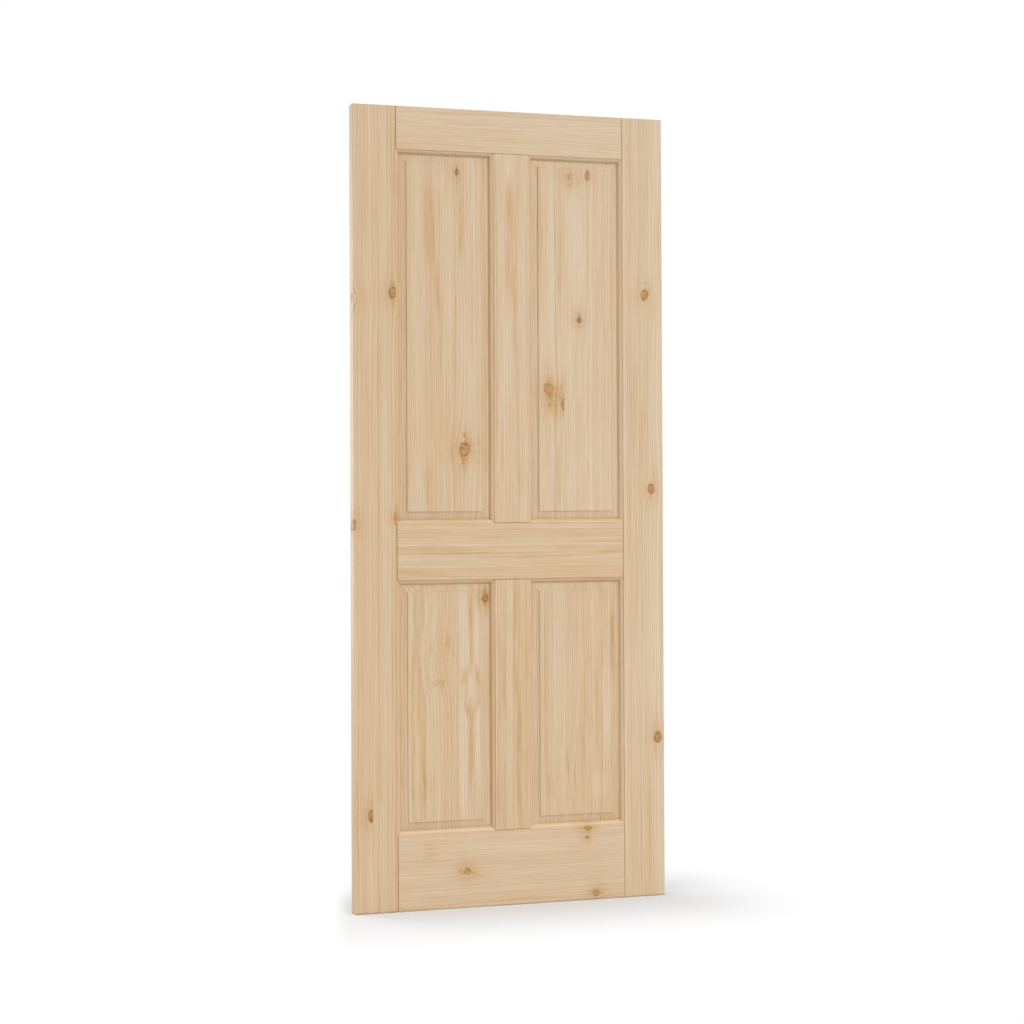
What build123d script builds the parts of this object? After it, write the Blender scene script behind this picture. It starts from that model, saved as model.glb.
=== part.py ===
from build123d import *
import os

# Four-panel pine door slab: a stile-and-rail frame round four raised and fielded panels.
# +X runs from the hinge edge to the lock edge, +Y from the front face to the back face, +Z up.
# The origin is on the hinge edge, halfway through the thickness, at the door's foot.
# Lengths are in millimetres.

# Overall size
door_width = 813.0
door_height = 1981.0
door_thickness = 35.0

# Framing members, measured across the face with their moulded edges
stile_width = 118.5
top_rail_width = 116.0
lock_rail_width = 160.0
bottom_rail_width = 197.0
mullion_width = 111.0
lock_rail_height = 882.0  # middle of the lock rail above the door's foot

# Edge that faces the panels, the same on both faces of every member
step_depth = 2.5  # small square step just under the face
ovolo_radius = 10.0  # quarter-round from the step down to the panel groove
groove_depth = 10.0  # panel groove behind the sight line
step_arris = 0.4  # easing along the top of the step
edge_arris = 1.0  # easing along the door's outer edges

# Coped ends of the rails and mullions
shoulder_gap = 0.4  # hairline left at a coped shoulder and behind its stub tenon
shoulder_arris = 1.0  # easing along the shoulder's face edge
tenon_clearance = 0.1  # on each face of a stub tenon in its groove

# Raised and fielded panels
panel_thickness = 20.0
border_width = 19.0  # sloping border from the sight line to the field
field_step = 2.5  # upstand at the field's edge
field_arris = 0.4
panel_float = 1.5  # room for the panel to swell at the sides and top of its groove
tongue_clearance = 0.2  # on each face of the panel's tongue in its groove

# Dowels that hold the joints
dowel_diameter = 8.0
dowel_length = 100.0
dowel_clearance = 0.1  # round the dowel
dowel_end_gap = 1.0  # at each end of its bore
rail_dowel_margin = 28.0  # from a rail's edge or groove to its nearest dowel
mullion_dowel_margin = 25.0  # from a mullion's groove to its nearest dowel
top_rail_dowels = 2
lock_rail_dowels = 2
bottom_rail_dowels = 3
mullion_dowels = 2

# Places that follow from the sizes above
half_thickness = door_thickness / 2
groove_width = door_thickness - 2 * (step_depth + ovolo_radius)
right_stile_low = door_width - stile_width
mullion_low = (door_width - mullion_width) / 2
mullion_high = mullion_low + mullion_width
lock_low = lock_rail_height - lock_rail_width / 2
lock_high = lock_low + lock_rail_width
top_low = door_height - top_rail_width
bottom_high = bottom_rail_width


def corner_triangle(flat_end, reach):
    """Small triangle at a face corner, on the side that the signed reach points to."""
    drop = abs(reach)
    return make_face(
        Polyline(
            (flat_end, half_thickness),
            (flat_end + reach, half_thickness),
            (flat_end, half_thickness - drop),
            close=True,
        )
    )


def edge_waste(coping):
    """Area that the cutter takes from a moulded edge at sight line X = 0, with the member on the -X side.

    The coping form is the one that a crosswise member's end is cut to: its groove is narrower by the tenon's
    clearance, and it takes the arris off the end instead of off the edge.
    """
    flat_end = -ovolo_radius
    ovolo_foot = groove_width / 2
    corner = make_face(
        Polyline(
            (flat_end, ovolo_foot + ovolo_radius),
            (flat_end, half_thickness),
            (0, half_thickness),
            (0, ovolo_foot),
        )
        + CenterArc((flat_end, ovolo_foot), ovolo_radius, 0, 90)
    )
    slot_width = groove_width
    if coping:
        corner -= corner_triangle(flat_end, shoulder_arris)
        slot_width -= 2 * tenon_clearance
    else:
        corner += corner_triangle(flat_end, -step_arris)
    slot = Pos(-groove_depth / 2, 0) * Rectangle(groove_depth, slot_width)
    return corner + mirror(corner, about=Plane.XZ) + slot


def member_section(width, low_edge, high_edge, coping=False):
    """Cross-section of a framing member from X = 0 to its width, moulded and grooved at the chosen edges."""
    section = Pos(width / 2, 0) * Rectangle(width, door_thickness)
    waste = edge_waste(coping)
    if high_edge:
        section -= Pos(width, 0) * waste
    if low_edge:
        section -= mirror(waste, about=Plane.YZ)
    return section


def upright(section, x_low, z_low, z_high):
    """Runs a cross-section up the door."""
    return extrude(Pos(x_low, 0, z_low) * section, amount=z_high - z_low)


def crosspiece(section, z_low, x_low, x_high):
    """Runs a cross-section across the door."""
    across = Plane(origin=(x_low, 0, z_low), x_dir=(0, 0, 1), z_dir=(1, 0, 0))
    return extrude(across * section, amount=x_high - x_low)


def evenly(low, high, margin, count):
    """Places spread evenly between two limits, a margin in from each."""
    pitch = (high - low - 2 * margin) / (count - 1)
    return [low + margin + i * pitch for i in range(count)]


def rod(centre, direction, radius, length):
    """Round rod through a centre point along a direction."""
    return Plane(origin=centre, z_dir=direction) * Cylinder(radius, length)


def dowel_set(centres, direction):
    """The dowels of one joint."""
    return [rod(centre, direction, dowel_diameter / 2, dowel_length) for centre in centres]


def dowel_bores(centres, direction):
    """The bores that one joint's dowels sit in, half in each member."""
    radius = dowel_diameter / 2 + dowel_clearance
    length = dowel_length + 2 * dowel_end_gap
    return [rod(centre, direction, radius, length) for centre in centres]


def stile(x_low, inner_edge_high, bores):
    """Full-height side member, eased along its outer side and along its ends."""
    section = member_section(stile_width, not inner_edge_high, inner_edge_high)
    body = upright(section, x_low, 0, door_height)
    outer_side = body.faces().sort_by(Axis.X)[0 if inner_edge_high else -1]
    face_edges = body.edges().group_by(Axis.Y)[0] + body.edges().group_by(Axis.Y)[-1]
    body = chamfer(outer_side.edges().filter_by(Axis.Z) + face_edges.filter_by(Axis.X), edge_arris)
    return body - bores


def rail(width, z_low, low_edge, high_edge, bores):
    """Crosspiece coped over the stiles and tenoned into their grooves.

    A side that meets no panel is eased.
    """
    tenon_left = stile_width - groove_depth
    bar = crosspiece(member_section(width, low_edge, high_edge), z_low, tenon_left, door_width - tenon_left)
    if not (low_edge and high_edge):
        plain_side = bar.faces().sort_by(Axis.Z)[0 if high_edge else -1]
        bar = chamfer(plain_side.edges().filter_by(Axis.X), edge_arris)
    left_cope = upright(member_section(stile_width, False, True, coping=True), shoulder_gap, 0, door_height)
    right_cope = mirror(left_cope, about=Plane.YZ.offset(door_width / 2))
    return bar - left_cope - right_cope - bores


def mullion(z_low, z_high, low_cope, high_cope, bores):
    """Middle upright between two sight lines, coped over the rails and tenoned into their grooves."""
    section = member_section(mullion_width, True, True)
    bar = upright(section, mullion_low, z_low - groove_depth, z_high + groove_depth)
    return bar - low_cope - high_cope - bores


def rail_cope(width, z_low, low_edge, high_edge):
    """Rail's shape as a mullion's end is cut to it."""
    section = member_section(width, low_edge, high_edge, coping=True)
    return crosspiece(section, z_low, stile_width, right_stile_low)


def panel(x_low, x_high, z_low, z_high):
    """Raised and fielded panel in one opening: tongue, sloping border and field on both faces."""
    width = x_high - x_low
    height = z_high - z_low
    middle = Pos((x_low + x_high) / 2, (z_low + z_high) / 2)
    field_width = width - 2 * border_width
    field_height = height - 2 * border_width
    tongue_half = groove_width / 2 - tongue_clearance
    border_half = panel_thickness / 2 - field_step

    reach = groove_depth - panel_float
    tongue_outline = Plane.XZ * middle * Pos(0, -panel_float / 2)
    tongue_outline *= Rectangle(width + 2 * reach, height + groove_depth + reach)
    tongue = extrude(tongue_outline, amount=tongue_half, both=True)

    field_outline = Plane.XZ * middle * Rectangle(field_width, field_height)
    field = extrude(field_outline, amount=panel_thickness / 2, both=True)
    field = chamfer(field.edges().group_by(Axis.Y)[0] + field.edges().group_by(Axis.Y)[-1], field_arris)

    border = loft(
        [
            Plane.XZ.offset(tongue_half) * middle * Rectangle(width, height),
            Plane.XZ.offset(border_half) * middle * Rectangle(field_width, field_height),
        ],
        ruled=True,
    )
    return tongue + field + border + mirror(border, about=Plane.XZ)


# Dowel places: a rail's dowels cross the stile's groove bottom, a mullion's cross the rail's groove bottom
rail_rows = {
    "top": evenly(top_low + groove_depth, door_height, rail_dowel_margin, top_rail_dowels),
    "lock": evenly(lock_low + groove_depth, lock_high - groove_depth, rail_dowel_margin, lock_rail_dowels),
    "bottom": evenly(0, bottom_high - groove_depth, rail_dowel_margin, bottom_rail_dowels),
}
rail_joint_x = {"left": stile_width - groove_depth, "right": right_stile_low + groove_depth}
mullion_row = evenly(
    mullion_low + groove_depth,
    mullion_high - groove_depth,
    mullion_dowel_margin,
    mullion_dowels,
)
mullion_joint_z = {
    "upper_mullion_top": top_low + groove_depth,
    "upper_mullion_bottom": lock_high - groove_depth,
    "lower_mullion_top": lock_low + groove_depth,
    "lower_mullion_bottom": bottom_high - groove_depth,
}
along_x = (1, 0, 0)
along_z = (0, 0, 1)

dowel_sets = {}
rail_bores = {name: [] for name in rail_rows}
stile_bores = {side: [] for side in rail_joint_x}
mullion_bores = {"upper": [], "lower": []}
for rail_name, heights in rail_rows.items():
    for side, joint_x in rail_joint_x.items():
        centres = [(joint_x, 0, height) for height in heights]
        dowel_sets[f"{rail_name}_rail_{side}_dowels"] = dowel_set(centres, along_x)
        rail_bores[rail_name] += dowel_bores(centres, along_x)
        stile_bores[side] += dowel_bores(centres, along_x)
rail_of_joint = dict(zip(mullion_joint_z, ("top", "lock", "lock", "bottom")))
for joint_name, joint_z in mullion_joint_z.items():
    centres = [(place, 0, joint_z) for place in mullion_row]
    dowel_sets[f"{joint_name}_dowels"] = dowel_set(centres, along_z)
    rail_bores[rail_of_joint[joint_name]] += dowel_bores(centres, along_z)
    mullion_bores[joint_name.split("_")[0]] += dowel_bores(centres, along_z)

parts = {
    "left_stile": stile(0, True, stile_bores["left"]),
    "right_stile": stile(right_stile_low, False, stile_bores["right"]),
    "top_rail": rail(top_rail_width, top_low, True, False, rail_bores["top"]),
    "lock_rail": rail(lock_rail_width, lock_low, True, True, rail_bores["lock"]),
    "bottom_rail": rail(bottom_rail_width, 0, False, True, rail_bores["bottom"]),
    "upper_mullion": mullion(
        lock_high,
        top_low,
        rail_cope(lock_rail_width, lock_low + shoulder_gap, True, True),
        rail_cope(top_rail_width, top_low - shoulder_gap, True, False),
        mullion_bores["upper"],
    ),
    "lower_mullion": mullion(
        bottom_high,
        lock_low,
        rail_cope(bottom_rail_width, shoulder_gap, False, True),
        rail_cope(lock_rail_width, lock_low - shoulder_gap, True, True),
        mullion_bores["lower"],
    ),
    "upper_left_panel": panel(stile_width, mullion_low, lock_high, top_low),
    "upper_right_panel": panel(mullion_high, right_stile_low, lock_high, top_low),
    "lower_left_panel": panel(stile_width, mullion_low, bottom_high, lock_low),
    "lower_right_panel": panel(mullion_high, right_stile_low, bottom_high, lock_low),
}
parts.update({name: Compound(dowels) for name, dowels in dowel_sets.items()})

os.makedirs("parts", exist_ok=True)
for name, shape in parts.items():
    export_step(shape, f"parts/{name}.step")
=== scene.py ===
import bpy
import math
from dataclasses import dataclass
from mathutils import Matrix, Vector


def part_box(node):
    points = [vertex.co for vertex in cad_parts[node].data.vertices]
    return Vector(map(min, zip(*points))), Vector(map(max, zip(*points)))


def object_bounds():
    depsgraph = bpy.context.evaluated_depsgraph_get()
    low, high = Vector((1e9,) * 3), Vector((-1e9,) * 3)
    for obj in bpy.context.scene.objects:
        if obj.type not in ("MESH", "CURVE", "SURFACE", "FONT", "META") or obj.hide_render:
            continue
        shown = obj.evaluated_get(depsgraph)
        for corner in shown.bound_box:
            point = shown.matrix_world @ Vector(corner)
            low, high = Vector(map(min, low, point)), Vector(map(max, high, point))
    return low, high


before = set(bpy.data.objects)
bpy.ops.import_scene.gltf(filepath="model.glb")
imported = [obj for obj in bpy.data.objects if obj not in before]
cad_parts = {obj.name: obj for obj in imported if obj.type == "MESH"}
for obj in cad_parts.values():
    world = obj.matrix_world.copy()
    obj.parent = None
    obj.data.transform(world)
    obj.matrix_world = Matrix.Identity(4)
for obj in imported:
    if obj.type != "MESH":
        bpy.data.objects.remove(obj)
cad_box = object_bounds()

# The boards' grain and knots are placed in millimetres in the door's own frame: x from the hinge edge,
# y through the thickness and z up from the floor. Everything else is in metres.
millimetres = 1000.0

# Camera, found by fitting the door's corners, edges and joint lines in the photo
camera_place = (-1.2965, -5.1709, 1.0105)
camera_turn = math.radians(18.29)
camera_lift = math.radians(0.62)
camera_roll = math.radians(0.24)
camera_lens = 76.37
camera_sensor = 36.0
camera_shift_up = -0.0352


# Small language for shader graphs

class Wire:
    """A number that flows between shader nodes, so that formulas read as plain sums."""

    def __init__(self, graph, socket):
        self.graph = graph
        self.socket = socket

    def __add__(self, other):
        return self.graph.math("ADD", self, other)

    def __radd__(self, other):
        return self.graph.math("ADD", other, self)

    def __sub__(self, other):
        return self.graph.math("SUBTRACT", self, other)

    def __rsub__(self, other):
        return self.graph.math("SUBTRACT", other, self)

    def __mul__(self, other):
        return self.graph.math("MULTIPLY", self, other)

    def __rmul__(self, other):
        return self.graph.math("MULTIPLY", other, self)

    def __truediv__(self, other):
        return self.graph.math("DIVIDE", self, other)

    def __rtruediv__(self, other):
        return self.graph.math("DIVIDE", other, self)


class Graph:
    """Adds shader nodes to a tree and joins them. Values may be numbers, colours or wires."""

    def __init__(self, tree):
        self.tree = tree

    def feed(self, socket, value):
        if isinstance(value, Wire):
            self.tree.links.new(value.socket, socket)
        else:
            socket.default_value = value

    def add(self, kind, inputs, **settings):
        node = self.tree.nodes.new(kind)
        for name, value in settings.items():
            setattr(node, name, value)
        for name, value in inputs.items():
            self.feed(node.inputs[name], value)
        return node

    def math(self, operation, *values):
        return Wire(self, self.add("ShaderNodeMath", dict(enumerate(values)), operation=operation).outputs[0])

    def hypot(self, a, b):
        return self.math("SQRT", a * a + b * b)

    def vector(self, x, y, z):
        return Wire(self, self.add("ShaderNodeCombineXYZ", {"X": x, "Y": y, "Z": z}).outputs[0])

    def split(self, vector):
        node = self.add("ShaderNodeSeparateXYZ", {0: vector})
        return [Wire(self, socket) for socket in node.outputs]

    def place(self):
        """Place in the door's own frame, in millimetres."""
        node = self.add("ShaderNodeTexCoord", {})
        return [wire * millimetres for wire in self.split(Wire(self, node.outputs["Object"]))]

    def step(self, low, high, value):
        """Smooth change from 0 at low to 1 at high."""
        inputs = {"Value": value, "From Min": low, "From Max": high}
        node = self.add("ShaderNodeMapRange", inputs, interpolation_type="SMOOTHSTEP")
        return Wire(self, node.outputs["Result"])

    def noise(self, x, y, z, detail=2.0, roughness=0.5):
        """Soft noise about 0, mostly within half a unit either way, with features about one unit apart."""
        inputs = {"Vector": self.vector(x, y, z), "Scale": 1.0, "Detail": detail, "Roughness": roughness}
        return Wire(self, self.add("ShaderNodeTexNoise", inputs).outputs[0]) * 2.0 - 1.0

    def grain(self, place, size, shift=0.0, detail=2.0, roughness=0.5):
        """Noise with features of a size in millimetres. The shift makes it differ from strip to strip."""
        across, through, along = [wire / length for wire, length in zip(place, size)]
        return self.noise(across + shift, through, along, detail, roughness)

    def noise_line(self, place, detail=1.0):
        """Soft noise about 0 along a line."""
        inputs = {"W": place, "Scale": 1.0, "Detail": detail}
        node = self.add("ShaderNodeTexNoise", inputs, noise_dimensions="1D")
        return Wire(self, node.outputs[0]) * 2.0 - 1.0

    def ramp(self, value, stops):
        """Colour that runs through the given (place, colour) stops."""
        node = self.add("ShaderNodeValToRGB", {"Fac": value})
        elements = node.color_ramp.elements
        while len(elements) < len(stops):
            elements.new(0.5)
        for element, (place, colour) in zip(elements, stops):
            element.position = place
            element.color = (*colour, 1.0)
        return Wire(self, node.outputs["Color"])

    def blend(self, amount, first, second, mode="MIX"):
        """Mixes two colours."""
        node = self.add("ShaderNodeMix", {"Factor": amount}, data_type="RGBA", blend_type=mode)
        self.feed(node.inputs[6], first)
        self.feed(node.inputs[7], second)
        return Wire(self, node.outputs[2])

    def bump(self, shader, strength, distance, height):
        """Gives a shader fine relief."""
        node = self.add("ShaderNodeBump", {"Strength": strength, "Distance": distance, "Height": height})
        self.feed(shader.inputs["Normal"], Wire(self, node.outputs["Normal"]))


def new_material(name):
    """A material, its graph and its shader."""
    material = bpy.data.materials.new(name)
    material.use_nodes = True
    return material, Graph(material.node_tree), material.node_tree.nodes["Principled BSDF"]


# Pine colours, from pale sapwood through the common straw colour to resin-brown streaks, and browner for the
# painted warm bounce light on the mouldings
pine_tones = [
    (0.00, (0.690, 0.548, 0.386)),
    (0.30, (0.656, 0.481, 0.303)),
    (0.60, (0.622, 0.414, 0.220)),
    (1.00, (0.548, 0.311, 0.110)),
]
# What a full-strength late-wood line leaves of the colour under it, also the colour towards which painted
# shade darkens the joints and the door's foot
line_and_shade_tint = (0.54, 0.46, 0.30, 1.0)
# Knot colours from the middle to the rim
knot_tones = [
    (0.00, (0.475, 0.230, 0.082)),
    (0.25, (0.530, 0.270, 0.103)),
    (0.62, (0.495, 0.246, 0.091)),
    (0.90, (0.400, 0.196, 0.068)),
    (1.00, (0.390, 0.190, 0.064)),
]
beech_tones = [
    (0.00, (0.660, 0.480, 0.320)),
    (1.00, (0.500, 0.330, 0.195)),
]


# Sizes of the grain's features in millimetres: across the grain, through the board and along the grain
sway_size = (260.0, 260.0, 520.0)
ripple_size = (22.0, 60.0, 80.0)
streak_size = (13.0, 18.0, 170.0)
fade_size = (9.0, 14.0, 85.0)
fibre_size = (3.0, 3.2, 70.0)
fleck_size = (1.3, 1.3, 14.0)
curl_size = (9.0, 14.0, 9.0)
beech_grain_size = (1.5, 1.5, 40.0)
beech_fleck_size = (0.5, 0.5, 2.5)
# How far the growth rings wander, ripple and curl, in millimetres
sway_reach = 6.0
ripple_reach = 1.5
curl_reach = 9.0
# Distances that keep the two sways apart, and one strip's log from the next, so that none are alike
sway_apart = 10400.0
log_apart = 777.0
years_apart = 31.0
# A branch's shift aside and down per depth, and how wavy, twisted and uneven its rim is
branch_aside = 0.1
branch_fall = 0.25
rim_waves = 0.9
rim_twist = 0.05
rim_uneven = 0.34
# Wood round a knot: bent grain and stained tails in knot half widths, and a stained halo in knot widths with
# a margin in millimetres
bend_along = 1.7
tail_across = 0.8
tail_along = 3.4
tail_stain = 0.45
halo_across = 1.1
halo_along = 0.9
halo_margin = 9.0
halo_stain = 0.62
# Where mouldings start, their feet and the panels' borders, in millimetres below the board's face
moulding_starts = (1.0, 2.4)
moulding_foot = (5.0, 10.0)
panel_border = (1.0, 2.0)
# The door's outer edges are this wide, and its foot is darkened this high with painted shade, in millimetres
outer_edge = (2.0, 6.0)
painted_foot_shade = (6.0, 1.0)
# Relief of bare wood: its strength, and its depth in metres
pine_relief = (0.35, 0.00008)
beech_relief = (0.3, 0.00005)
# Farther than any board reaches, in millimetres
beyond = 10000.0


@dataclass
class Stave:
    """One strip of a board, cut from its own log."""
    pith_across: float  # where the log's middle lies, across the board
    pith_behind: float  # and behind the middle of the door's thickness
    ring: float  # growth of one year
    tone: float = 0.30  # place in the pine colours
    late: float = 0.38  # how dark the late wood's lines are
    bands: float = 0.30  # how strongly the colour changes from band to band of years
    seed: float = 0.0
    starts: float = -beyond  # low edge of the strip across the board


@dataclass
class Knot:
    """A branch's foot, through the board."""
    x: float
    z: float
    wide: float
    tall: float
    lean: float = 0.0  # degrees, clockwise from the front
    dark: float = 0.0  # 1 for a small dead knot
    flame: float = 0.55  # how strongly the wood above and below it is stained
    body: float = 1.0  # 0 where the branch lies just under the surface
    below: float = beyond  # high edge, across the board, of the strip that it belongs to


@dataclass
class Stain:
    """A long soft streak of browner or paler wood."""
    x: float
    z: float
    wide: float
    tall: float
    tone: float  # browner above 0, paler below it
    slope: float = 0.0  # shift across the grain per length along it


@dataclass
class Swell:
    """A place where the growth rings bulge or curl, which draws loops and arches."""
    x: float
    z: float
    wide: float
    tall: float
    rise: float = 0.0  # how far the rings bulge
    curl: float = 0.0  # how far they curl


@dataclass
class Board:
    """How the grain of one board runs, and what marks it."""
    level: bool  # grain runs along x, as in a rail
    staves: list
    run: float = 1.0  # how far the streaks run along the grain
    knots: tuple = ()
    stains: tuple = ()
    swells: tuple = ()
    edge_knots: tuple = ()  # knots that come out at the hinge edge: x is the depth, below how far in they go

    def turn(self, x, z):
        """Puts a pair of values for x and z in order: across the grain, then along it."""
        return (z, x) if self.level else (x, z)


@dataclass
class Spot:
    """Wires for the place that is being coloured, in millimetres."""
    x: Wire
    y: Wire
    z: Wire
    depth: Wire  # from the board's front
    across: Wire  # across the grain
    along: Wire  # along the grain
    curl: Wire  # noise that curls the grain in and round knots


# In the formulas below, a bare number beside a wire is its weight.

def pick(graph, board, spot, name):
    """The value of one strip, chosen by the place across the board."""
    value = getattr(board.staves[0], name)
    for before, after in zip(board.staves, board.staves[1:]):
        change = getattr(after, name) - getattr(before, name)
        value = graph.math("GREATER_THAN", spot.across, after.starts) * change + value
    return value


def hill(graph, u, w):
    """Rounded hill, 1 at its middle and gone at about twice its half widths."""
    return graph.math("EXPONENT", (u * u + w * w) * -1.0)


def knot_shape(graph, knot, x, depth, z):
    """Distance from a knot's middle, 1 at its rim, with an uneven outline."""
    turn = math.radians(knot.lean)
    dx = x - (knot.x + branch_aside * depth)
    dz = z - (knot.z - branch_fall * depth)
    p = (dx * math.cos(turn) - dz * math.sin(turn)) / (knot.wide / 2)
    q = (dx * math.sin(turn) + dz * math.cos(turn)) / (knot.tall / 2)
    wobble = graph.noise(p * rim_waves + knot.x, q * rim_waves, depth * rim_twist)
    return graph.hypot(p, q) * (1.0 + wobble * rim_uneven)


def edge_distance(graph, spot, box):
    """How far inside an upright rectangle a place is."""
    low_x, high_x, low_z, high_z = box
    beside = graph.math("MINIMUM", spot.x - low_x, high_x - spot.x)
    return graph.math("MINIMUM", beside, graph.math("MINIMUM", spot.z - low_z, high_z - spot.z))


def part_round_knots(graph, board, spot):
    """Grain parts round the knots and closes again beyond them, and resin stains the wood there.

    Gives the place across the grain before it was bent, the strength of the stain, and the knots, each with
    its shape and its strength.
    """
    bent = spot.across
    flames = 0.0
    bodies = []
    for knot in board.knots:
        rim = knot_shape(graph, knot, spot.x, spot.depth, spot.z)
        middle_across, middle_along = board.turn(knot.x, knot.z)
        wide_across, wide_along = board.turn(knot.wide, knot.tall)
        from_across = spot.across - middle_across
        from_along = spot.along - middle_along
        off_across = from_across / (wide_across / 2)
        off_along = from_along / (wide_along / 2)
        lens = graph.hypot(off_across, off_along / bend_along)
        belongs = graph.math("LESS_THAN", spot.across, knot.below)
        push = belongs / graph.math("SQRT", 1.0 + lens * lens * lens * lens)
        bent = bent - from_across * push
        halo_u = from_across / (wide_across * halo_across + halo_margin)
        halo_w = from_along / (wide_along * halo_along + halo_margin)
        halo = hill(graph, halo_u, halo_w)
        tail = hill(graph, off_across / tail_across, off_along / tail_along)
        flames = flames + (halo * halo_stain + tail * tail_stain) * belongs * knot.flame
        bodies.append((knot, rim, belongs * knot.body))
    for knot in board.edge_knots:
        rim = knot_shape(graph, knot, spot.depth, spot.x, spot.z)
        bodies.append((knot, rim, graph.step(knot.below, 0.0, spot.x)))
    return bent + flames * spot.curl * curl_reach, flames, bodies


def growth_rings(graph, board, spot, bent, seed):
    """Growth rings about the log's middle.

    Gives the late wood of each year, how strong it is, the slow bands of years, and the sway and ripple of
    the rings.
    """
    far = spot.along + seed * log_apart
    sway = graph.grain((bent, spot.depth, far), sway_size) * sway_reach
    sway_behind = graph.grain((bent, spot.depth + sway_apart, far), sway_size) * sway_reach
    ripple = graph.grain((bent, spot.depth, far), ripple_size, detail=3.0) * ripple_reach
    off_across = bent + sway - pick(graph, board, spot, "pith_across")
    off_behind = spot.y + sway_behind - pick(graph, board, spot, "pith_behind")
    radius = graph.hypot(off_across, off_behind) + ripple
    for swell in board.swells:
        u = (spot.x + ripple * 3.0 - swell.x) / (swell.wide / 2)
        w = (spot.z + ripple * 3.0 - swell.z) / (swell.tall / 2)
        radius = radius + hill(graph, u, w) * (spot.curl * swell.curl + swell.rise)

    # Years are uneven. In each, late wood comes on slowly and ends sharply.
    years = radius / pick(graph, board, spot, "ring") + seed * years_apart
    years = years + graph.noise_line(years * 0.33) * 1.1
    season = graph.math("FRACT", years)
    late = graph.step(0.20, 0.84, season) * graph.step(1.0, 0.88, season)
    vigour = graph.noise_line(years * 0.9 + 50.0) * 0.9 + 0.6
    bands = graph.noise_line(years * 0.13 + 9.0, detail=3.0)
    return late, vigour, bands, sway, ripple


def marks_and_painted_light(graph, board, spot, front, opening, fibre):
    """Painted light and shade in the tone and the dark lines, alike on both faces, with darker end grain.

    Faces turned from the front are browner with painted warm bounce light, most on mouldings that face down
    or to the hinges. Painted light makes mouldings lighter, most where they face down, and lightens the
    contact lines at their feet and by a panel's frame. Painted shade darkens the joints and the door's foot,
    and a panel is darker just above its lower edge.
    """
    sunk = -front - graph.math("ABSOLUTE", spot.y)
    normal = graph.split(Wire(graph, graph.add("ShaderNodeNewGeometry", {}).outputs["Normal"]))
    inside = graph.step(*outer_edge, edge_distance(graph, spot, door_box))
    # Faces turned from the front, whose browner tone is painted warm bounce light
    turned_from_front = graph.step(0.97, 0.60, graph.math("ABSOLUTE", normal[1])) * inside
    if opening:
        # Painted light that lightens the shaded contact line by the panel's frame
        painted_light_by_frame = graph.math("EXPONENT", edge_distance(graph, spot, opening) * -0.7)
        # Darker just above the opening's lower edge
        by_lower_edge = graph.math("EXPONENT", (spot.z - opening[2]) * -0.6)
        border = graph.step(*panel_border, sunk) * graph.step(0.0, 0.5, fibre)
        # Painted warm bounce light on turned faces, painted light by the frame, and darker just above the
        # lower edge
        tone = turned_from_front * 0.12 - painted_light_by_frame * 0.08 + by_lower_edge * 0.15
        line = border * 0.12 - turned_from_front * 0.02 - painted_light_by_frame * 0.30 + by_lower_edge * 0.55
    else:
        end_grain = graph.math("ABSOLUTE", board.turn(normal[0], normal[2])[1])
        arris = graph.step(0.25, 0.5, end_grain) * graph.step(0.95, 0.8, end_grain)
        # Painted shade in the joints, strongest on rail ends that face the hinges
        painted_joint_shade = arris * (0.35 + graph.step(0.2, -0.2, normal[0]) * 0.65 if board.level else 0.1)
        # Painted shade along the door's foot
        foot = graph.step(*painted_foot_shade, spot.z)
        low = graph.step(*moulding_foot, sunk)
        moulded = graph.step(*moulding_starts, sunk) * inside
        # Mouldings that face down or to the hinges get a browner tone, painted warm bounce light in their
        # shade
        shaded = graph.step(0.1, -0.3, normal[0] + normal[2])
        tone = turned_from_front * (0.38 - low * 0.26) + moulded * shaded * (1.0 - low) * 0.14 + painted_joint_shade * 0.45
        line = end_grain * 0.25 + painted_joint_shade * 0.95 + foot * 0.50
        # Painted light on the mouldings, most where they face down, and on the contact lines at their feet
        line = line - moulded * (0.12 - normal[2] * 0.25) - turned_from_front * low * 0.26
    return tone, line


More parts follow.
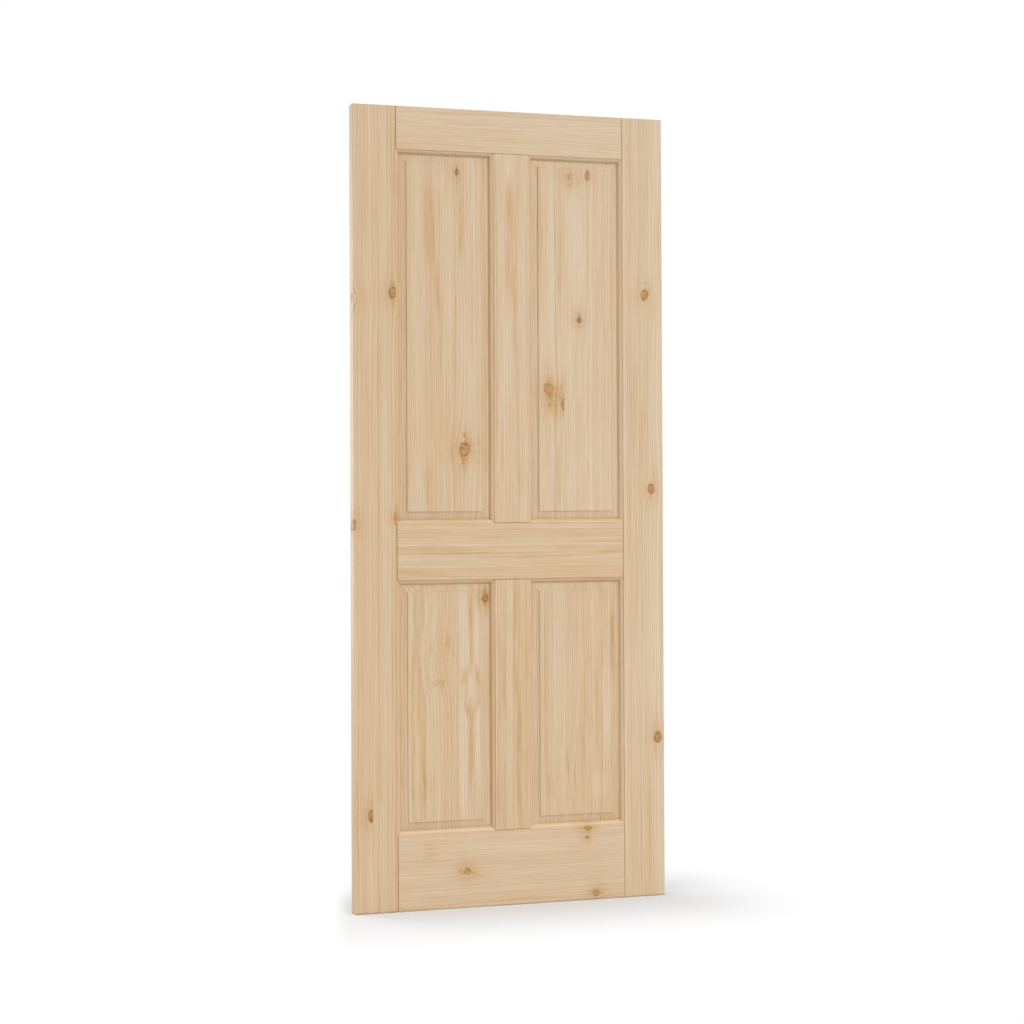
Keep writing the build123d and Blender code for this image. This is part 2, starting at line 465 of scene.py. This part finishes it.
def pine(name, board, front, opening):
    """Bare sanded pine with growth rings through the whole board. Only a panel has an opening."""
    material, graph, shader = new_material(name)
    x, y, z = graph.place()
    depth = y - front
    curl = graph.grain((x, depth, z), curl_size, detail=3.0)
    spot = Spot(x, y, z, depth, *board.turn(x, z), curl)
    bent, flames, bodies = part_round_knots(graph, board, spot)
    seed = pick(graph, board, spot, "seed")
    late, vigour, bands, sway, ripple = growth_rings(graph, board, spot, bent, seed)

    # Fibres, streaks and lines that fade in and out along the grain
    run = (bent, y, spot.along / board.run)
    fibre = graph.grain(run, fibre_size, seed * 13.0, detail=3.0, roughness=0.65)
    streak = graph.grain(run, streak_size, seed * 5.0, detail=3.0)
    fade = graph.grain(run, fade_size, seed * 9.0) * 1.2
    fade = graph.math("MAXIMUM", 0.75 + fade, 0.0)
    fleck = graph.grain((bent, y, spot.along), fleck_size, seed * 3.0, detail=1.0)
    fleck = graph.step(0.30, 0.60, fleck)
    lines = (late - 0.4) * vigour * fade * pick(graph, board, spot, "late")
    line = 0.12 + lines + fibre * 0.26 + fleck * 0.06 + flames * 0.10

    # Tone from pale to brown, with stains round knots and long soft streaks
    calm = 1.0 / (1.0 + flames * 3.0)
    uneven = bands * pick(graph, board, spot, "bands") + streak * 0.28
    patchy = graph.math("MAXIMUM", 0.8 + curl * 1.5 + fibre * 0.6, 0.25)
    tone = pick(graph, board, spot, "tone") + uneven * calm + flames * patchy + lines * 0.30
    mottle = 0.85 + streak * 0.9 + fibre * 0.6
    strayed = bent + sway * 0.4 + ripple * 1.5
    for stain in board.stains:
        middle_across, middle_along = board.turn(stain.x, stain.z)
        wide_across, wide_along = board.turn(stain.wide, stain.tall)
        off_along = spot.along - middle_along
        u = (strayed - middle_across - off_along * stain.slope) / (wide_across / 2)
        w = off_along / (wide_along / 2)
        tone = tone + hill(graph, u * u, w * w) * stain.tone * mottle

    # Painted light and shade on mouldings, joints, the door's foot and panel edges, with end grain darker
    tone_with_painted_shading, line_with_painted_shading = marks_and_painted_light(graph, board, spot, front, opening, fibre)
    colour = graph.ramp(tone + tone_with_painted_shading, pine_tones)
    colour = graph.blend(line + line_with_painted_shading, colour, line_and_shade_tint, mode="MULTIPLY")
    for knot, rim, amount in bodies:
        rings = graph.math("SINE", rim * 14.0 + knot.x) * 0.06 + curl * 0.22 + fibre * 0.12
        knot_colour = graph.ramp(rim + rings, knot_tones)
        dark = graph.step(-0.10, 0.25, curl) * 0.60 + knot.dark * 0.6
        knot_colour = graph.blend(dark, knot_colour, line_and_shade_tint, mode="MULTIPLY")
        colour = graph.blend(graph.step(1.10, 0.80, rim) * amount, colour, knot_colour)
    graph.feed(shader.inputs["Base Color"], colour)
    graph.feed(shader.inputs["Roughness"], 0.52 - late * 0.06 + fibre * 0.06)
    graph.bump(shader, *pine_relief, late * 0.5 + fibre * 0.6)
    return material


def beech(name, level):
    """Plain turned beech, with short dark flecks along the dowel."""
    material, graph, shader = new_material(name)
    x, y, z = graph.place()
    place = (z, y, x) if level else (x, y, z)
    grain = graph.grain(place, beech_grain_size, detail=3.0)
    fleck = graph.step(0.25, 0.5, graph.grain(place, beech_fleck_size, detail=1.0))
    graph.feed(shader.inputs["Base Color"], graph.ramp(0.4 + grain * 0.6 + fleck * 0.4, beech_tones))
    graph.feed(shader.inputs["Roughness"], 0.55 + grain * 0.1)
    graph.bump(shader, *beech_relief, grain)
    return material


boards = {
    "left_stile": Board(
        level=False,
        run=2.4,
        staves=[
            Stave(pith_across=-160, pith_behind=90, ring=3.8, late=0.58, seed=1.3, tone=0.30),
            Stave(pith_across=-90, pith_behind=100, ring=4.2, late=0.64, seed=2.1, tone=0.29, starts=46),
            Stave(pith_across=-200, pith_behind=60, ring=3.6, late=0.50, seed=2.6, tone=0.33, starts=109),
        ],
        knots=(
            Knot(x=101, z=1520, wide=25, tall=30, dark=0.2, below=109),
            Knot(x=105, z=968, wide=9, tall=14, flame=0.75, body=0.55),
            Knot(x=1, z=951, wide=10, tall=30, dark=0.2, flame=0.75),
            Knot(x=43, z=238, wide=21, tall=34, dark=0.3, flame=0.60, below=46),
            Knot(x=-8, z=1506, wide=40, tall=24, body=0, flame=0.30),
        ),
        stains=(
            Stain(x=101, z=1750, wide=14, tall=330, tone=0.17),
            Stain(x=105, z=500, wide=11, tall=1000, tone=0.17),
            Stain(x=40, z=1220, wide=18, tall=320, tone=0.12),
            Stain(x=13, z=1220, wide=12, tall=450, tone=-0.12),
            Stain(x=86, z=850, wide=12, tall=900, tone=-0.14),
            Stain(x=58, z=500, wide=3, tall=900, tone=0.22),
            Stain(x=73, z=640, wide=3, tall=560, tone=0.18),
            Stain(x=9, z=150, wide=4, tall=500, tone=0.19),
        ),
        edge_knots=(Knot(x=12, z=1506, wide=17, tall=26, dark=0.5, below=40),),
    ),
    "right_stile": Board(
        level=False,
        run=2.0,
        staves=[
            Stave(pith_across=980, pith_behind=80, ring=4.0, late=0.74, seed=3.7, tone=0.22),
            Stave(pith_across=920, pith_behind=90, ring=4.4, late=0.68, seed=3.2, tone=0.14, starts=754),
        ],
        knots=(
            Knot(x=765, z=1530, wide=22, tall=29, dark=0.1),
            Knot(x=780, z=1036, wide=20, tall=28, dark=0.25),
            Knot(x=796, z=403, wide=22, tall=32, dark=0.1),
        ),
        stains=(
            Stain(x=788, z=1720, wide=24, tall=500, tone=-0.18),
            Stain(x=785, z=1270, wide=16, tall=260, tone=-0.18),
            Stain(x=800, z=1680, wide=9, tall=220, tone=0.30),
            Stain(x=742, z=1230, wide=22, tall=260, tone=0.15),
            Stain(x=755, z=1160, wide=16, tall=160, tone=0.18),
            Stain(x=740, z=830, wide=10, tall=300, tone=0.15),
            Stain(x=784, z=740, wide=34, tall=480, tone=-0.15),
            Stain(x=805, z=720, wide=10, tall=560, tone=0.27),
            Stain(x=718, z=1250, wide=4, tall=800, tone=0.15),
            Stain(x=750, z=150, wide=6, tall=300, tone=0.21),
            Stain(x=774, z=180, wide=8, tall=260, tone=0.21),
        ),
    ),
    "top_rail": Board(
        level=True,
        staves=[
            Stave(pith_across=1780, pith_behind=80, ring=3.8, late=0.33, bands=0.12, seed=4.9, tone=0.18),
        ],
        stains=(
            Stain(x=160, z=1887, wide=320, tall=26, tone=0.17),
            Stain(x=310, z=1970, wide=220, tall=8, tone=0.17, slope=0.04),
            Stain(x=580, z=1930, wide=320, tall=60, tone=-0.08),
        ),
    ),
    "lock_rail": Board(
        level=True,
        staves=[
            Stave(pith_across=700, pith_behind=60, ring=4.2, late=0.56, seed=5.2, tone=0.33),
        ],
        stains=(
            Stain(x=170, z=893, wide=230, tall=6, tone=0.26),
            Stain(x=225, z=884, wide=130, tall=18, tone=0.26),
            Stain(x=430, z=868, wide=210, tall=10, tone=0.36),
            Stain(x=620, z=875, wide=190, tall=10, tone=0.36, slope=0.06),
            Stain(x=260, z=915, wide=80, tall=14, tone=-0.19),
            Stain(x=440, z=886, wide=160, tall=14, tone=-0.19),
            Stain(x=640, z=905, wide=160, tall=5, tone=0.27),
            Stain(x=150, z=830, wide=160, tall=18, tone=0.18),
        ),
    ),
    "bottom_rail": Board(
        level=True,
        staves=[
            Stave(pith_across=-110, pith_behind=70, ring=4.0, late=0.40, bands=0.22, seed=6.4, tone=0.20),
        ],
        knots=(
            Knot(x=286, z=91, wide=19, tall=17, flame=0.75, body=0.85),
            Knot(x=605, z=181, wide=20, tall=12, dark=0.2, flame=0.60, body=0.9),
            Knot(x=602, z=157, wide=7, tall=7, flame=0.60, body=0.8),
            Knot(x=626, z=17, wide=18, tall=18, flame=0.60, body=0.8),
        ),
        stains=(
            Stain(x=192, z=142, wide=36, tall=44, tone=0.22),
            Stain(x=215, z=118, wide=120, tall=4, tone=0.21),
            Stain(x=320, z=80, wide=60, tall=9, tone=0.18, slope=-0.35),
            Stain(x=400, z=14, wide=400, tall=4, tone=0.23),
            Stain(x=420, z=140, wide=260, tall=40, tone=-0.13),
            Stain(x=680, z=100, wide=60, tall=26, tone=-0.16),
        ),
    ),
    "upper_mullion": Board(
        level=False,
        staves=[Stave(pith_across=290, pith_behind=60, ring=4.2, seed=7.7, tone=0.25)],
        stains=(
            Stain(x=406, z=1650, wide=27, tall=280, tone=0.40),
            Stain(x=416, z=1450, wide=9, tall=170, tone=0.34),
            Stain(x=398, z=1385, wide=28, tall=230, tone=-0.22),
            Stain(x=402, z=1838, wide=20, tall=66, tone=-0.27),
            Stain(x=367, z=1400, wide=12, tall=1200, tone=0.23),
            Stain(x=425, z=1120, wide=3, tall=260, tone=0.34),
            Stain(x=380, z=1130, wide=6, tall=200, tone=0.27),
        ),
        swells=(Swell(x=402, z=1860, wide=40, tall=150, rise=-12),),
    ),
    "lower_mullion": Board(
        level=False,
        staves=[Stave(pith_across=300, pith_behind=80, ring=4.2, seed=8.1, tone=0.36)],
        stains=(
            Stain(x=414, z=650, wide=10, tall=260, tone=0.32),
            Stain(x=420, z=640, wide=10, tall=300, tone=0.16),
            Stain(x=424, z=370, wide=13, tall=330, tone=0.34, slope=-0.015),
            Stain(x=369, z=500, wide=7, tall=800, tone=0.32),
            Stain(x=384, z=560, wide=8, tall=160, tone=0.25),
            Stain(x=399, z=560, wide=17, tall=640, tone=-0.22),
            Stain(x=443, z=500, wide=3, tall=700, tone=0.36),
        ),
    ),
    "upper_left_panel": Board(
        level=False,
        staves=[
            Stave(pith_across=40, pith_behind=60, ring=4.0, late=0.70, seed=9.6, tone=0.29),
            Stave(pith_across=420, pith_behind=70, ring=4.0, late=0.70, seed=10.4, tone=0.29, starts=252),
        ],
        knots=(
            Knot(x=268, z=1825, wide=10, tall=17, dark=0.7, flame=0.60),
            Knot(x=286, z=1136, wide=30, tall=38, lean=12, flame=0.75),
        ),
        stains=(
            Stain(x=197, z=1680, wide=36, tall=200, tone=0.34),
            Stain(x=210, z=1620, wide=9, tall=240, tone=0.22, slope=-0.05),
            Stain(x=219, z=1540, wide=9, tall=120, tone=0.22),
            Stain(x=229, z=1440, wide=10, tall=180, tone=0.22),
            Stain(x=278, z=1690, wide=14, tall=150, tone=0.36),
            Stain(x=304, z=1520, wide=10, tall=320, tone=0.22),
            Stain(x=284, z=1380, wide=26, tall=380, tone=-0.22),
            Stain(x=342, z=1500, wide=10, tall=800, tone=0.18),
            Stain(x=192, z=1045, wide=22, tall=90, tone=0.22),
            Stain(x=246, z=1600, wide=16, tall=400, tone=-0.22),
        ),
        swells=(Swell(x=284, z=1370, wide=30, tall=420, rise=8),),
    ),
    "upper_right_panel": Board(
        level=False,
        staves=[
            Stave(pith_across=400, pith_behind=60, ring=4.2, late=0.47, seed=11.2, tone=0.18),
            Stave(pith_across=760, pith_behind=70, ring=3.8, late=0.47, seed=12.8, tone=0.17, starts=549),
        ],
        knots=(
            Knot(x=613, z=1831, wide=14, tall=28, flame=0.45),
            Knot(x=565, z=1821, wide=14, tall=24, body=0, flame=0.75),
            Knot(x=590, z=1463, wide=12, tall=16, dark=0.6, flame=0.75),
            Knot(x=508, z=1287, wide=27, tall=35, lean=-20, flame=0.60, body=0.75),
            Knot(x=550, z=1250, wide=20, tall=34, dark=0.5, flame=0.50, body=0.8, below=549),
        ),
        stains=(
            Stain(x=487, z=1690, wide=12, tall=280, tone=0.31),
            Stain(x=516, z=1600, wide=20, tall=420, tone=-0.20),
            Stain(x=540, z=1680, wide=16, tall=320, tone=0.27),
            Stain(x=586, z=1660, wide=34, tall=280, tone=-0.20),
            Stain(x=612, z=1660, wide=8, tall=300, tone=0.31),
            Stain(x=527, z=1265, wide=40, tall=90, tone=0.37),
            Stain(x=533, z=1060, wide=8, tall=160, tone=0.27),
            Stain(x=612, z=1200, wide=8, tall=500, tone=0.17),
            Stain(x=660, z=1420, wide=12, tall=50, tone=0.27),
        ),
    ),
    "lower_left_panel": Board(
        level=False,
        staves=[
            Stave(pith_across=165, pith_behind=60, ring=4.0, late=0.42, seed=13.9, tone=0.35),
            Stave(pith_across=400, pith_behind=60, ring=4.2, late=0.42, seed=14.5, tone=0.33, starts=264),
        ],
        knots=(
            Knot(x=338, z=765, wide=19, tall=20, dark=0.7, flame=0.90),
        ),
        stains=(
            Stain(x=165, z=520, wide=10, tall=180, tone=0.26),
            Stain(x=174, z=360, wide=16, tall=240, tone=0.30),
            Stain(x=280, z=690, wide=24, tall=210, tone=-0.42),
            Stain(x=315, z=690, wide=12, tall=210, tone=-0.40),
            Stain(x=301, z=690, wide=9, tall=200, tone=0.40),
            Stain(x=279, z=370, wide=20, tall=280, tone=-0.42),
            Stain(x=318, z=400, wide=14, tall=200, tone=-0.40),
            Stain(x=300, z=410, wide=11, tall=190, tone=0.55),
            Stain(x=284, z=500, wide=13, tall=56, tone=0.38, slope=-0.35),
            Stain(x=317, z=500, wide=13, tall=56, tone=0.38, slope=0.35),
            Stain(x=285, z=575, wide=14, tall=46, tone=0.38, slope=0.25),
            Stain(x=318, z=572, wide=13, tall=60, tone=0.38, slope=-0.25),
            Stain(x=301, z=545, wide=16, tall=56, tone=-0.30),
            Stain(x=212, z=556, wide=46, tall=18, tone=0.32),
            Stain(x=245, z=650, wide=14, tall=50, tone=0.36, slope=-0.2),
            Stain(x=196, z=640, wide=10, tall=60, tone=0.30, slope=0.2),
        ),
        swells=(
            Swell(x=220, z=610, wide=80, tall=150, rise=14, curl=10),
            Swell(x=303, z=548, wide=36, tall=90, rise=12, curl=6),
        ),
    ),
    "lower_right_panel": Board(
        level=False,
        staves=[
            Stave(pith_across=400, pith_behind=70, ring=3.8, late=0.84, bands=0.15, seed=15.1, tone=0.30),
            Stave(pith_across=760, pith_behind=70, ring=4.0, late=0.84, bands=0.15, seed=16.3, tone=0.31,
                  starts=577),
        ],
        stains=(
            Stain(x=532, z=600, wide=32, tall=420, tone=-0.20),
            Stain(x=678, z=650, wide=15, tall=170, tone=0.58),
            Stain(x=633, z=480, wide=9, tall=220, tone=0.26),
            Stain(x=657, z=470, wide=20, tall=230, tone=-0.32),
            Stain(x=592, z=430, wide=26, tall=300, tone=0.16),
            Stain(x=556, z=350, wide=16, tall=70, tone=0.26),
            Stain(x=510, z=290, wide=30, tall=60, tone=0.19),
            Stain(x=640, z=285, wide=40, tall=60, tone=-0.22),
            Stain(x=496, z=520, wide=8, tall=400, tone=0.16),
        ),
        swells=(Swell(x=556, z=320, wide=60, tall=120, rise=9),),
    ),
}


# Lights, floor and camera

# Studio light at eye level, and what is added overhead
eye_level_light = 0.44
overhead_light = 0.34
# Floor's half width, and its colour for the light that it throws back and for the camera
floor_half = 8.0
floor_lit = (0.6, 0.6, 0.6, 1)
floor_seen = (0.66, 0.66, 0.67, 1)
white = (1, 1, 1, 1)
# The floor runs out to white between these distances from the door. Distances beside it count several times
# over, and those by the hinges start at a line that slants as it goes back.
fade_from = 0.05
fade_to = 0.5
hinge_side_times = 9.0
lock_side_times = 1.4
hinge_side_slant = 0.25


def add_camera():
    data = bpy.data.cameras.new("camera")
    data.sensor_width = camera_sensor
    data.lens = camera_lens
    data.shift_y = camera_shift_up
    camera = bpy.data.objects.new("camera", data)
    aim = Matrix.Rotation(-camera_turn, 4, "Z") @ Matrix.Rotation(math.radians(90) + camera_lift, 4, "X")
    camera.matrix_world = Matrix.Translation(camera_place) @ aim @ Matrix.Rotation(-camera_roll, 4, "Z")
    bpy.context.scene.collection.objects.link(camera)
    bpy.context.scene.camera = camera


def add_world():
    """White studio: brighter overhead than at eye level, and plain white where the camera sees it."""
    world = bpy.data.worlds.new("studio")
    world.use_nodes = True
    graph = Graph(world.node_tree)
    background = world.node_tree.nodes["Background"]
    background.inputs["Color"].default_value = white
    toward = graph.split(Wire(graph, graph.add("ShaderNodeTexCoord", {}).outputs["Generated"]))
    light = eye_level_light + graph.step(0.0, 1.0, toward[2]) * overhead_light
    rays = graph.add("ShaderNodeLightPath", {}).outputs
    seen = graph.math("MAXIMUM", Wire(graph, rays["Is Camera Ray"]), Wire(graph, rays["Is Glossy Ray"]))
    graph.feed(background.inputs["Strength"], light + seen * (1.0 - light))
    bpy.context.scene.world = world


def aim_lamp(name, data, place, target):
    lamp = bpy.data.objects.new(name, data)
    direction = Vector(target) - Vector(place)
    lamp.matrix_world = Matrix.Translation(place) @ direction.to_track_quat("-Z", "Y").to_matrix().to_4x4()
    bpy.context.scene.collection.objects.link(lamp)


def add_area(name, place, target, size, power):
    data = bpy.data.lights.new(name, "AREA")
    data.energy = power
    data.size = size
    aim_lamp(name, data, place, target)


def add_sun(name, toward, spread, strength):
    """A lamp far off in the given direction, as wide as its spread in degrees."""
    data = bpy.data.lights.new(name, "SUN")
    data.energy = strength
    data.angle = math.radians(spread)
    aim_lamp(name, data, toward, (0, 0, 0))


def add_floor():
    """Pale floor that keeps the shadow beside the door and runs out to plain white, soonest by the hinges."""
    mesh = bpy.data.meshes.new("floor")
    half = floor_half
    corners = [(-half, -half, 0), (half, -half, 0), (half, half, 0), (-half, half, 0)]
    mesh.from_pydata(corners, [], [(0, 1, 2, 3)])
    floor = bpy.data.objects.new("floor", mesh)
    bpy.context.scene.collection.objects.link(floor)
    material, graph, shader = new_material("floor")
    seen = Wire(graph, graph.add("ShaderNodeLightPath", {}).outputs["Is Camera Ray"])
    graph.feed(shader.inputs["Base Color"], graph.blend(seen, floor_lit, floor_seen))
    shader.inputs["Roughness"].default_value = 0.9
    shader.inputs["Specular IOR Level"].default_value = 0.0
    glow = graph.add("ShaderNodeEmission", {"Color": white, "Strength": 1.0})
    x, y, _ = graph.split(Wire(graph, graph.add("ShaderNodeTexCoord", {}).outputs["Object"]))
    hinge_side = (y * hinge_side_slant + cad_box[0][0] - x) * hinge_side_times
    lock_side = (x - cad_box[1][0]) * lock_side_times
    beside = graph.math("MAXIMUM", graph.math("MAXIMUM", hinge_side, lock_side), 0.0)
    far = graph.step(fade_from, fade_to, graph.hypot(beside, y))
    mix = graph.add("ShaderNodeMixShader", {"Fac": far * seen})
    material.node_tree.links.new(shader.outputs["BSDF"], mix.inputs[1])
    material.node_tree.links.new(glow.outputs["Emission"], mix.inputs[2])
    output = material.node_tree.nodes["Material Output"]
    material.node_tree.links.new(mix.outputs["Shader"], output.inputs["Surface"])
    mesh.materials.append(material)


add_camera()
add_world()
add_floor()
add_sun("key", toward=(0.36, -0.80, 0.50), spread=40, strength=1.25)
add_sun("fill", toward=(-0.50, -0.25, 1.0), spread=40, strength=0.55)
add_sun("overhead", toward=(-0.12, 0.06, 1.0), spread=30, strength=0.8)
add_area("right", place=(2.1, -1.3, 0.7), target=(0.6, 0.0, 0.8), size=1.2, power=2.4)
add_area("side", place=(-1.7, 2.6, 1.3), target=(0.0, 0.0, 1.0), size=1.8, power=34)


def dress(node, material):
    node.data.materials.clear()
    node.data.materials.append(material)


def reach(name):
    """A node's low and high ends in x, y and z, in millimetres."""
    low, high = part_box(name)
    return [(a * millimetres, b * millimetres) for a, b in zip(low, high)]


def panel_opening(name):
    """The opening in the frame that a panel shows in: low and high x, then low and high z."""
    upper = name.startswith("upper")
    mullion = reach("upper_mullion" if upper else "lower_mullion")
    if "left" in name:
        sides = (reach("left_stile")[0][1], mullion[0][0])
    else:
        sides = (mullion[0][1], reach("right_stile")[0][0])
    below = reach("lock_rail" if upper else "bottom_rail")
    above = reach("top_rail" if upper else "lock_rail")
    return (*sides, below[2][1], above[2][0])


door_box = (reach("left_stile")[0][0], reach("right_stile")[0][1], *reach("left_stile")[2])
dowel_beech = {"rail": beech("beech_level", True), "mullion": beech("beech_upright", False)}
for name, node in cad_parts.items():
    if name in boards:
        opening = panel_opening(name) if "panel" in name else None
        dress(node, pine("pine_" + name, boards[name], reach(name)[1][0], opening))
    else:
        dress(node, dowel_beech["rail" if "rail" in name else "mullion"])

bpy.context.scene.view_settings.view_transform = "Standard"
